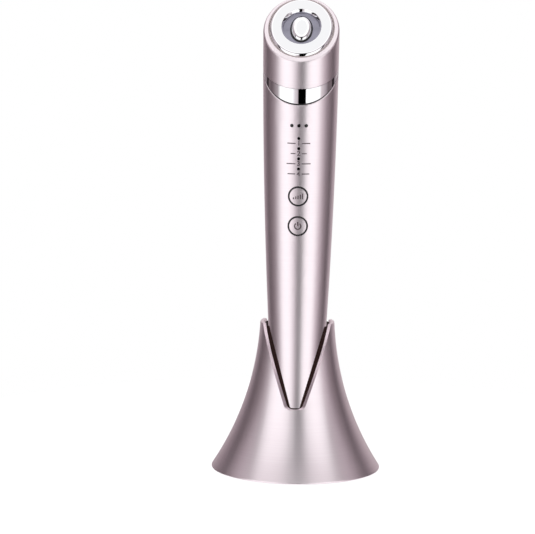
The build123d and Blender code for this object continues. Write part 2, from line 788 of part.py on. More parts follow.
level_legs = [
    (place[0] + level_light_pitch / 2, place[1]) for place in level_light_places[:-1]
]
level_light_guide = light_guide(
    level_light_places,
    level_light_radius,
    level_legs,
    level_light_places[-1][0] + light_bar_margin,
    light_bar_margin,
)
level_light_guide.label = "level_light_guide"
export_step(level_light_guide, "parts/level_light_guide.step")

mode_legs = [(0, place[1] + mode_light_pitch / 2) for place in mode_light_places[:-1]]
mode_light_guide = light_guide(
    mode_light_places,
    mode_light_radius,
    mode_legs,
    light_bar_margin,
    (mode_light_places[-1][1] - mode_light_places[0][1]) / 2 + light_bar_margin,
)
mode_light_guide.label = "mode_light_guide"
export_step(mode_light_guide, "parts/mode_light_guide.step")

# Wand: boards between two bulkheads of the chassis

with BuildPart() as main_board:
    with BuildSketch(front_plane(main_board_depth)):
        with Locations((0, (bay_bottom + bay_top) / 2)):
            Rectangle(2 * board_half_width, board_bay)
    extrude(amount=-board_thickness)
main_board.part.label = "main_board"
export_step(main_board.part, "parts/main_board.step")

with BuildPart() as leds:
    with BuildSketch(front_plane(main_board_depth)):
        with Locations(*level_light_places, *mode_light_places):
            Rectangle(led_width, led_length)
    extrude(amount=led_height)
leds.part.label = "leds"
export_step(leds.part, "parts/leds.step")

with BuildPart() as rf_board:
    with BuildSketch(front_plane(-rf_board_depth)):
        with Locations((0, (bay_bottom + bay_top) / 2)):
            Rectangle(2 * board_half_width, board_bay)
    extrude(amount=-board_thickness)
rf_board.part.label = "rf_board"
export_step(rf_board.part, "parts/rf_board.step")

transformer_top = bay_top - transformer_drop
rf_board_back = rf_board_depth + board_thickness
with BuildPart() as rf_transformer:
    with BuildSketch(front_plane(-rf_board_back)):
        with Locations((0, transformer_top - transformer_height / 2)):
            Rectangle(transformer_width, transformer_height)
    extrude(amount=-transformer_depth)
    windings = rf_transformer.edges().filter_by(Axis.Y)
    fillet(windings, winding_radius)
rf_transformer.part.label = "rf_transformer"
export_step(rf_transformer.part, "parts/rf_transformer.step")

# Wand: chassis. A half tube behind the battery and boards, with three bulkheads across it.

chassis_inset = handle_wall + chassis_gap
charge_board_middle = socket_thickness / 2 + board_thickness / 2
lower_bulkhead = battery_bottom - battery_gap - bulkhead
with BuildPart() as inner_chassis:
    revolve(wand_section(spigot_top, chassis_top, chassis_inset), axis=Axis.Z)
    revolve(
        wand_section(spigot_top, chassis_top, chassis_inset + chassis_wall),
        axis=Axis.Z,
        mode=Mode.SUBTRACT,
    )
    split(bisect_by=Plane.XZ, keep=Keep.BOTTOM)
    for bottom in (lower_bulkhead, bay_bottom - bulkhead, bay_top):
        revolve(wand_section(bottom, bottom + bulkhead, chassis_inset), axis=Axis.Z)
    with BuildSketch(Plane.XY.offset(battery_bottom - battery_gap)):
        Circle(battery_radius + battery_gap)
    extrude(amount=battery_length + 2 * battery_gap, mode=Mode.SUBTRACT)
    with BuildSketch(Plane.XY.offset(lower_bulkhead)):
        with Locations((-power_lead_x, charge_board_middle), (power_lead_x, charge_board_middle)):
            Circle(lead_hole_radius)
    extrude(amount=bulkhead, mode=Mode.SUBTRACT)
    with BuildSketch(Plane.XY.offset(bay_bottom - bulkhead)):
        with Locations((-power_lead_x, 0), (power_lead_x, 0)):
            Circle(lead_hole_radius)
    extrude(amount=bulkhead, mode=Mode.SUBTRACT)
    with BuildSketch(Plane.XY.offset(bay_top)):
        with Locations((0, wire_window_place)):
            Circle(wire_window_radius)
        with Locations((chassis_screw_place, 0), (-chassis_screw_place, 0)):
            Circle(chassis_screw_radius + fit_gap)
    extrude(amount=bulkhead, mode=Mode.SUBTRACT)
inner_chassis.part.label = "inner_chassis"
export_step(inner_chassis.part, "parts/inner_chassis.step")

with BuildPart() as chassis_screws:
    with BuildSketch(Plane.XY.offset(bay_top)):
        with Locations((chassis_screw_place, 0), (-chassis_screw_place, 0)):
            Circle(chassis_screw_radius)
    extrude(amount=chassis_screw_length)
    with BuildSketch(Plane.XY.offset(bay_top)):
        with Locations((chassis_screw_place, 0), (-chassis_screw_place, 0)):
            Circle(chassis_screw_head_radius)
    extrude(amount=-chassis_screw_head_height)
chassis_screws.part.label = "chassis_screws"
export_step(chassis_screws.part, "parts/chassis_screws.step")

with BuildPart() as battery_cell:
    with BuildSketch(Plane.XY.offset(battery_bottom)):
        Circle(battery_radius)
    extrude(amount=battery_length)
battery_cell.part.label = "battery_cell"
export_step(battery_cell.part, "parts/battery_cell.step")

# Wand: charging socket on its small board, standing in the tail cap

with BuildPart() as charge_socket:
    with BuildSketch(Plane.XY.offset(wand_foot + socket_recess)):
        SlotOverall(socket_width, socket_thickness)
    extrude(amount=socket_length)
    with BuildSketch(Plane.XY.offset(wand_foot + socket_recess)):
        SlotOverall(socket_width - 2 * socket_wall, socket_thickness - 2 * socket_wall)
        Rectangle(socket_tongue_width, socket_tongue_thickness, mode=Mode.SUBTRACT)
    extrude(amount=socket_length - socket_base, mode=Mode.SUBTRACT)
charge_socket.part.label = "charge_socket"
export_step(charge_socket.part, "parts/charge_socket.step")

charge_board_front = socket_thickness / 2
charge_board_back = charge_board_front + board_thickness
charge_board_half_width = sqrt(spigot_bore_radius**2 - charge_board_back**2) - charge_board_gap
charge_board_bottom = wand_foot + tail_cap_floor
with BuildPart() as charge_board:
    with BuildSketch(front_plane(-charge_board_front)):
        with Locations((0, charge_board_bottom + charge_board_length / 2)):
            Rectangle(2 * charge_board_half_width, charge_board_length)
    extrude(amount=-board_thickness)
charge_board.part.label = "charge_board"
export_step(charge_board.part, "parts/charge_board.step")

# Wand: wires, as round tubes with level or upright ends


def wire(points, bend_radius):
    """Round wire along straight runs that are joined by arcs."""
    with BuildPart() as lead:
        with BuildLine() as route:
            FilletPolyline(*points, radius=bend_radius)
        with BuildSketch(Plane(origin=route.wire() @ 0, z_dir=route.wire() % 0)):
            Circle(wire_radius)
        sweep()
    return lead.part


with BuildPart() as battery_leads:
    for side in (-1, 1):
        with BuildSketch(Plane.XY.offset(charge_board_bottom + charge_board_length)):
            with Locations((side * power_lead_x, charge_board_middle)):
                Circle(wire_radius)
        extrude(amount=battery_bottom - charge_board_bottom - charge_board_length)
        add(
            wire(
                [
                    (side * power_lead_x, 0, battery_top),
                    (side * power_lead_x, 0, bay_bottom + power_lead_rise),
                    (side * power_lead_x, board_thickness - main_board_depth, bay_bottom + power_lead_rise),
                ],
                power_lead_bend,
            )
        )
battery_leads.part.label = "battery_leads"
export_step(battery_leads.part, "parts/battery_leads.step")


def behind_face(place, drop):
    """Point behind the slanted face, at a place across it."""
    return face_plane.from_local_coords(Vector(place, 0, -drop))


lead_depth = rf_board_back + transformer_depth / 2
screw_head_drop = flange_bottom + carrier_screw_head_height
with BuildPart() as electrode_leads:
    add(
        wire(
            [
                (-lead_x, lead_depth, transformer_top),
                (-lead_x, lead_depth, bay_top + lead_rise),
                behind_face(0, stem_end + stem_lead_run),
                behind_face(0, stem_end),
            ],
            [lead_bend, lead_bend],
        )
    )
    add(
        wire(
            [
                (lead_x, lead_depth, transformer_top),
                (lead_x, lead_depth, bay_top + lead_rise),
                behind_face(carrier_screw_place, screw_head_drop + screw_lead_run),
                behind_face(carrier_screw_place, screw_head_drop),
            ],
            [lead_bend, lead_tight_bend],
        )
    )
electrode_leads.part.label = "electrode_leads"
export_step(electrode_leads.part, "parts/electrode_leads.step")
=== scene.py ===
"""Looks of the radio frequency beauty wand and its flared stand.

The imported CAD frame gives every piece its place, in metres: the stand's foot is at z = 0, the
wand stands on the z axis, and the buttons and the slanted face look towards -Y.
"""

import logging
import math
from dataclasses import dataclass
from enum import Enum
from typing import Any, ClassVar, Sequence

import bmesh
import bpy
from mathutils import Matrix, Vector
from mathutils.bvhtree import BVHTree


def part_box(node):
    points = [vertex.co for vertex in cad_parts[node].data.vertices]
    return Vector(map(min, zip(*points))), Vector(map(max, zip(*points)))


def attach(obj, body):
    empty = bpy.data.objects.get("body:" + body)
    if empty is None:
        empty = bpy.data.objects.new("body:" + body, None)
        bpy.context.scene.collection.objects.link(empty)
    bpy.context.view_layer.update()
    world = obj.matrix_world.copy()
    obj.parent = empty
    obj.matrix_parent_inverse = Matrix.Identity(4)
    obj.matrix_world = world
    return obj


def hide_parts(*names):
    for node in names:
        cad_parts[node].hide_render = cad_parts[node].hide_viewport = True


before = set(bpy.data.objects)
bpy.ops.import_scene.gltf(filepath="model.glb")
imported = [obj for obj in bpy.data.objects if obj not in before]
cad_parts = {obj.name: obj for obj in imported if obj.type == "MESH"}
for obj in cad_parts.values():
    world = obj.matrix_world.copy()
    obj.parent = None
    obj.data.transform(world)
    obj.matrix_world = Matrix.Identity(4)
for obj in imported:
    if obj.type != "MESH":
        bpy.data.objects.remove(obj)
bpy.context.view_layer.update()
MM = 0.001
WHITE = (1.0, 1.0, 1.0, 1.0)
BLACK = (0.0, 0.0, 0.0, 1.0)
MIX_A, MIX_B, MIX_RESULT = 6, 7, 2  # the Mix node's colour sockets
FINE_DETAIL = 2.0  # octaves of a fine noise
ROUND_STEPS = 96  # sides of a large circle
log = logging.getLogger("beauty_wand")


# Small tools


def linear(code: str, alpha: float = 1.0) -> tuple[float, float, float, float]:
    """Turns an sRGB hex colour into the linear colour that nodes take, by the sRGB standard's curve.

    Args:
        code: Six hex digits after a hash, such as "#EFDDE4".
        alpha: The fourth channel.

    Returns:
        Linear red, green, blue and alpha.
    """
    parts = [int(code[place:place + 2], 16) / 255 for place in (1, 3, 5)]
    parts = [part / 12.92 if part <= 0.04045 else ((part + 0.055) / 1.055) ** 2.4 for part in parts]
    return parts[0], parts[1], parts[2], alpha


def add_node(
    tree: bpy.types.NodeTree, kind: str, links: dict[Any, Any] | None = None, **settings: Any
) -> bpy.types.Node:
    """Adds one node with its settings and links.

    Args:
        tree: The node tree that gets the node.
        kind: The node's type, such as "ShaderNodeTexNoise".
        links: Input name or number to a value, or to the output socket that feeds it.
        settings: The node's own properties.

    Returns:
        The new node.
    """
    node = tree.nodes.new(kind)
    for name, value in settings.items():
        setattr(node, name, value)
    for key, value in (links or {}).items():
        if isinstance(value, bpy.types.NodeSocket):
            tree.links.new(value, node.inputs[key])
        else:
            node.inputs[key].default_value = value
    return node


def set_ramp(ramp: bpy.types.Node, stops: Sequence[tuple[float, str]]) -> None:
    """Gives a colour ramp its stops.

    Args:
        ramp: The Color Ramp node.
        stops: Place and sRGB hex colour of each stop, in order.
    """
    elements = ramp.color_ramp.elements
    while len(elements) < len(stops):
        elements.new(1.0)
    for element, (place, code) in zip(elements, stops):
        element.position = place
        element.color = linear(code)


def blank_material(name: str) -> bpy.types.Material:
    """Makes a material with an empty node tree."""
    material = bpy.data.materials.new(name)
    material.use_nodes = True
    material.node_tree.nodes.clear()
    return material


def add_object(name: str, shape: bmesh.types.BMesh, material: bpy.types.Material) -> bpy.types.Object:
    """Turns a bmesh into an object of the scene.

    Args:
        name: The object's name.
        shape: Its mesh, in metres and in place. It is freed.
        material: Its material.

    Returns:
        The new object.
    """
    mesh = bpy.data.meshes.new(name)
    shape.to_mesh(mesh)
    shape.free()
    mesh.materials.append(material)
    thing = bpy.data.objects.new(name, mesh)
    bpy.context.scene.collection.objects.link(thing)
    return thing


class Skin:
    """The outside of a CAD node, where printed marks find their place."""

    ray_start: ClassVar[float] = -0.1  # metres, well in front of the wand

    def __init__(self, node: str) -> None:
        """Reads the node's triangles.

        Args:
            node: Name of the CAD node.
        """
        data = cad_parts[node].data
        self.tree = BVHTree.FromPolygons(
            [vertex.co.copy() for vertex in data.vertices], [list(face.vertices) for face in data.polygons]
        )

    def front(self, across: float, height: float) -> Vector:
        """Finds the front of the node.

        Args:
            across: Metres to the right of the wand's axis.
            height: Metres above the table.

        Returns:
            The point that is seen there from the front.
        """
        start = Vector((across, self.ray_start, height))
        point = self.tree.ray_cast(start, Vector((0.0, 1.0, 0.0)))[0]
        if point is None:
            raise ValueError(f"no skin at {tuple(start)}")
        return point


# Finishes


class Finish:
    """A surface finish that makes its Blender material once."""

    name: str
    made: ClassVar[dict[str, bpy.types.Material]] = {}

    def material(self) -> bpy.types.Material:
        """Returns the finish's material, and makes it the first time."""
        if self.name not in self.made:
            material = blank_material(self.name)
            tree = material.node_tree
            add_node(tree, "ShaderNodeOutputMaterial", {"Surface": self.shade(tree)})
            self.made[self.name] = material
        return self.made[self.name]

    def shade(self, tree: bpy.types.NodeTree) -> bpy.types.NodeSocket:
        """Builds the finish's nodes and returns the closing shader socket."""
        raise NotImplementedError


@dataclass(frozen=True)
class AnodisedAluminium(Finish):
    """Satin anodised aluminium, turned on a lathe: fine rings round the axis under a tinted film."""

    name: str
    colour: str = "#FAF1F5"
    streak: str = "#F0E4EA"
    roughness: float = 0.34
    ring_pitch: float = 0.22 * MM  # real tool marks are nearer 0.05 mm, drawn coarser so that they show
    ring_depth: float = 0.0008 * MM
    ring_strength: float = 0.6
    ring_breaks: float = 12.0  # per metre across, few enough that the rings look whole
    ring_detail: float = 3.0
    ring_range: tuple[float, float] = (0.3, 0.7)  # of the noise, between smoothest and roughest
    swing: float = 0.03  # of the roughness

    def shade(self, tree: bpy.types.NodeTree) -> bpy.types.NodeSocket:
        """Builds the satin metal with its turned rings."""
        place = add_node(tree, "ShaderNodeTexCoord").outputs["Object"]
        stretched = add_node(
            tree, "ShaderNodeMapping",
            {"Vector": place, "Scale": (self.ring_breaks, self.ring_breaks, 1 / self.ring_pitch)},
        )
        rings = add_node(
            tree, "ShaderNodeTexNoise",
            {"Vector": stretched.outputs[0], "Scale": 1.0, "Detail": self.ring_detail},
        )
        rough = add_node(
            tree, "ShaderNodeMapRange",
            {"Value": rings.outputs["Fac"], "From Min": self.ring_range[0], "From Max": self.ring_range[1],
             "To Min": self.roughness - self.swing, "To Max": self.roughness + self.swing},
        )
        tint = add_node(
            tree, "ShaderNodeMix",
            {"Factor": rings.outputs["Fac"], MIX_A: linear(self.colour), MIX_B: linear(self.streak)},
            data_type="RGBA",
        )
        bump = add_node(
            tree, "ShaderNodeBump",
            {"Height": rings.outputs["Fac"], "Distance": self.ring_depth, "Strength": self.ring_strength},
        )
        metal = add_node(
            tree, "ShaderNodeBsdfPrincipled",
            {"Base Color": tint.outputs[MIX_RESULT], "Metallic": 1.0, "Roughness": rough.outputs[0],
             "Normal": bump.outputs[0]},
        )
        return metal.outputs[0]


@dataclass(frozen=True)
class SpunDish(Finish):
    """Bead-blasted nickel dish, spun on its axis: its round grain catches light at both sides."""

    name: str
    centre: tuple[float, float, float]
    axis: tuple[float, float, float]
    colour: str = "#A3A1B0"
    roughness: float = 0.45
    grain: float = 0.18 * MM
    grain_depth: float = 0.002 * MM
    grain_strength: float = 0.8
    anisotropy: float = 0.85

    def shade(self, tree: bpy.types.NodeTree) -> bpy.types.NodeSocket:
        """Builds the spun metal with its circular grain."""
        place = add_node(tree, "ShaderNodeTexCoord").outputs["Object"]
        arm = add_node(tree, "ShaderNodeVectorMath", {0: place, 1: self.centre}, operation="SUBTRACT")
        along = add_node(
            tree, "ShaderNodeVectorMath", {0: arm.outputs[0], 1: self.axis}, operation="CROSS_PRODUCT"
        )
        reach = add_node(tree, "ShaderNodeVectorMath", {0: along.outputs[0]}, operation="LENGTH")
        rings = add_node(
            tree, "ShaderNodeTexNoise",
            {"W": reach.outputs["Value"], "Scale": 1 / self.grain, "Detail": FINE_DETAIL},
            noise_dimensions="1D",
        )
        grit = add_node(
            tree, "ShaderNodeTexNoise", {"Vector": place, "Scale": 1 / self.grain, "Detail": FINE_DETAIL}
        )
        mixed = add_node(
            tree, "ShaderNodeMath", {0: rings.outputs["Fac"], 1: grit.outputs["Fac"]}, operation="MULTIPLY"
        )
        bump = add_node(
            tree, "ShaderNodeBump",
            {"Height": mixed.outputs[0], "Distance": self.grain_depth, "Strength": self.grain_strength},
        )
        metal = add_node(
            tree, "ShaderNodeBsdfPrincipled",
            {"Base Color": linear(self.colour), "Metallic": 1.0, "Roughness": self.roughness,
             "Anisotropic": self.anisotropy, "Tangent": along.outputs[0], "Normal": bump.outputs[0]},
        )
        return metal.outputs[0]


@dataclass(frozen=True)
class ChromePlate(Finish):
    """Bright chrome plating over a polished part: nearly a mirror, with faint polishing haze."""

    name: str
    colour: str = "#F6F6F8"
    roughness: float = 0.04
    haze_spots: float = 900.0  # per metre
    haze_shares: tuple[float, float] = (0.7, 1.4)  # of the roughness, where it is least and most

    def shade(self, tree: bpy.types.NodeTree) -> bpy.types.NodeSocket:
        """Builds the mirror with its haze."""
        place = add_node(tree, "ShaderNodeTexCoord").outputs["Object"]
        haze = add_node(
            tree, "ShaderNodeTexNoise", {"Vector": place, "Scale": self.haze_spots, "Detail": FINE_DETAIL}
        )
        low, high = (self.roughness * share for share in self.haze_shares)
        rough = add_node(
            tree, "ShaderNodeMapRange", {"Value": haze.outputs["Fac"], "To Min": low, "To Max": high}
        )
        metal = add_node(
            tree, "ShaderNodeBsdfPrincipled",
            {"Base Color": linear(self.colour), "Metallic": 1.0, "Roughness": rough.outputs[0]},
        )
        return metal.outputs[0]


@dataclass(frozen=True)
class MouldedPlastic(Finish):
    """Injection-moulded plastic or rubber with a fine spark-eroded grain."""

    name: str
    colour: str
    roughness: float = 0.5
    grain: float = 0.25 * MM
    grain_depth: float = 0.004 * MM
    grain_strength: float = 0.7
    swing: float = 0.08  # of the roughness
    ior: float = 1.5
    specular: float = 0.5

    def shade(self, tree: bpy.types.NodeTree) -> bpy.types.NodeSocket:
        """Builds the moulded skin with its grain."""
        place = add_node(tree, "ShaderNodeTexCoord").outputs["Object"]
        grain = add_node(
            tree, "ShaderNodeTexNoise", {"Vector": place, "Scale": 1 / self.grain, "Detail": FINE_DETAIL}
        )
        rough = add_node(
            tree, "ShaderNodeMapRange",
            {"Value": grain.outputs["Fac"],
             "To Min": self.roughness - self.swing, "To Max": self.roughness + self.swing},
        )
        bump = add_node(
            tree, "ShaderNodeBump",
            {"Height": grain.outputs["Fac"], "Distance": self.grain_depth, "Strength": self.grain_strength},
        )
        skin = add_node(
            tree, "ShaderNodeBsdfPrincipled",
            {"Base Color": linear(self.colour), "Roughness": rough.outputs[0], "IOR": self.ior,
             "Specular IOR Level": self.specular, "Normal": bump.outputs[0]},
        )
        return skin.outputs[0]


@dataclass(frozen=True)
class CircuitBoard(Finish):
    """Glass-epoxy board under green solder mask: copper tracks show through as lighter raised lines."""

    name: str
    mask: str = "#1E5A38"
    over_copper: str = "#3C8557"
    track_pitch: float = 0.9 * MM
    track_height: float = 0.035 * MM
    track_width: float = 0.09  # as a share of the pitch
    track_length: float = 3.3  # in pitches
    roughness: float = 0.32
    ior: float = 1.5

    def shade(self, tree: bpy.types.NodeTree) -> bpy.types.NodeSocket:
        """Builds the mask with its tracks."""
        place = add_node(tree, "ShaderNodeTexCoord").outputs["Object"]
        upright = add_node(
            tree, "ShaderNodeMapping", {"Vector": place, "Rotation": (math.radians(90), 0.0, 0.0)}
        )
        tracks = add_node(
            tree, "ShaderNodeTexBrick",
            {"Vector": upright.outputs[0], "Color1": BLACK, "Color2": BLACK, "Mortar": WHITE,
             "Scale": 1 / self.track_pitch, "Mortar Size": self.track_width,
             "Brick Width": self.track_length, "Row Height": 1.0},
        )
        colour = add_node(
            tree, "ShaderNodeMix",
            {"Factor": tracks.outputs["Color"], MIX_A: linear(self.mask),
             MIX_B: linear(self.over_copper)},
            data_type="RGBA",
        )
        bump = add_node(
            tree, "ShaderNodeBump", {"Height": tracks.outputs["Color"], "Distance": self.track_height}
        )
        mask = add_node(
            tree, "ShaderNodeBsdfPrincipled",
            {"Base Color": colour.outputs[MIX_RESULT], "Roughness": self.roughness, "IOR": self.ior,
             "Normal": bump.outputs[0]},
        )
        return mask.outputs[0]


@dataclass(frozen=True)
class PadPrint(Finish):
    """Pad-printed ink: a thin matt film whose edges vary a little in strength."""

    name: str
    colour: str = "#5A4C53"
    grain: float = 0.4 * MM
    roughness: tuple[float, float] = (0.45, 0.7)  # where it is least and most

    def shade(self, tree: bpy.types.NodeTree) -> bpy.types.NodeSocket:
        """Builds the ink film."""
        place = add_node(tree, "ShaderNodeTexCoord").outputs["Object"]
        film = add_node(
            tree, "ShaderNodeTexNoise", {"Vector": place, "Scale": 1 / self.grain, "Detail": FINE_DETAIL}
        )
        low, high = self.roughness
        rough = add_node(
            tree, "ShaderNodeMapRange", {"Value": film.outputs["Fac"], "To Min": low, "To Max": high}
        )
        ink = add_node(
            tree, "ShaderNodeBsdfPrincipled",
            {"Base Color": linear(self.colour), "Roughness": rough.outputs[0]},
        )
        return ink.outputs[0]


SATIN_METAL = AnodisedAluminium("champagne_anodised_aluminium")
CHROME = ChromePlate("polished_chrome_plate")
BLACK_ABS = MouldedPlastic("moulded_black_abs", "#1B1A1C")
# The stand's lining is dark brown so that it shows as the shadow in the gap between the notch edges and the
# wand: painted shade.
SHADE_LINING = MouldedPlastic("dark_lining_as_painted_shade", "#2C1816", roughness=0.8, specular=0.15)
GASKET = MouldedPlastic("silicone_gasket", "#D6CAC8", roughness=0.6)
# Dark silicone for the stand's real foot ring, and also for the rings round the egg and under the collar,
# where its dark is painted shade.
RUBBER_AND_SHADE = MouldedPlastic("silicone_rubber_and_painted_shade", "#232122", roughness=0.7)
STEEL = ChromePlate("zinc_plated_steel", "#B9BABD", roughness=0.28)
SMOKED = MouldedPlastic("smoked_acrylic_light_window", "#1A171A", roughness=0.12)
BOARD = CircuitBoard("solder_mask_on_glass_epoxy")
SLEEVE = MouldedPlastic("battery_shrink_sleeve", "#4C82B4", roughness=0.3)
FERRITE = MouldedPlastic("sintered_ferrite", "#3B3A3D", roughness=0.6)
INSULATION = MouldedPlastic("extruded_wire_insulation", "#A8332C", roughness=0.4)
LED_EPOXY = MouldedPlastic("led_epoxy", "#E8DFA8", roughness=0.25)
PANEL_INK = PadPrint("grey_brown_panel_ink")
CHIP = MouldedPlastic("chip_moulding_compound", "#232427", roughness=0.45)
TINNED = ChromePlate("tinned_copper_contacts", "#D8D8DA", roughness=0.22)
COPPER = ChromePlate("enamelled_copper_wire", "#C4733F", roughness=0.25)


# Studio


@dataclass
class PhotoCamera:
    """The camera that took the reference view, found from the object's own edges."""

    distance: float = 1.5
    elevation: float = 9.45
    azimuth: float = 1.7
    roll: float = 0.80
    target_height: float = 0.084
    target_right: float = 31.1  # pixels from the middle of the picture
    target_up: float = 32.6
    focal: float = 4250.0  # pixels
    picture_width: int = 535
    sensor_width: float = 36.0
    clip: tuple[float, float] = (0.1, 20.0)  # metres

    def build(self) -> None:
        """Makes the camera and turns it to the wand."""
        rise, turn, tip = (math.radians(angle) for angle in (self.elevation, self.azimuth, self.roll))
        back = Vector((math.sin(turn) * math.cos(rise), -math.cos(turn) * math.cos(rise), math.sin(rise)))
        level = Vector((math.cos(turn), math.sin(turn), 0.0))
        upright = back.cross(level)
        right = level * math.cos(tip) + upright * math.sin(tip)
        up = upright * math.cos(tip) - level * math.sin(tip)
        target = Vector((0.0, 0.0, self.target_height))
        place = target + back * self.distance
        pixel = self.distance / self.focal
        aim = target - right * self.target_right * pixel - up * self.target_up * pixel
        back = (place - aim).normalized()
        right = (right - back * right.dot(back)).normalized()
        up = back.cross(right)
        data = bpy.data.cameras.new("photo_camera")
        data.sensor_width = self.sensor_width
        data.lens = self.focal * self.sensor_width / self.picture_width
        data.clip_start, data.clip_end = self.clip
        camera = bpy.data.objects.new("photo_camera", data)
        bpy.context.scene.collection.objects.link(camera)
        axes = Matrix((right, up, back)).transposed().to_4x4()
        camera.matrix_world = Matrix.Translation(place) @ axes
        bpy.context.scene.camera = camera


@dataclass(frozen=True)
class ClothBand:
    """Colours of the light tent round the wand, from one height up to where the next band takes over.

    Attributes:
        begins: Height in metres where this band starts to take over from the one below.
        full: Height in metres from which only this band is seen.
        colours: Degrees to the right of the wand's front, and the cloth's colour there.
    """

    begins: float
    full: float
    colours: tuple[tuple[float, str], ...]


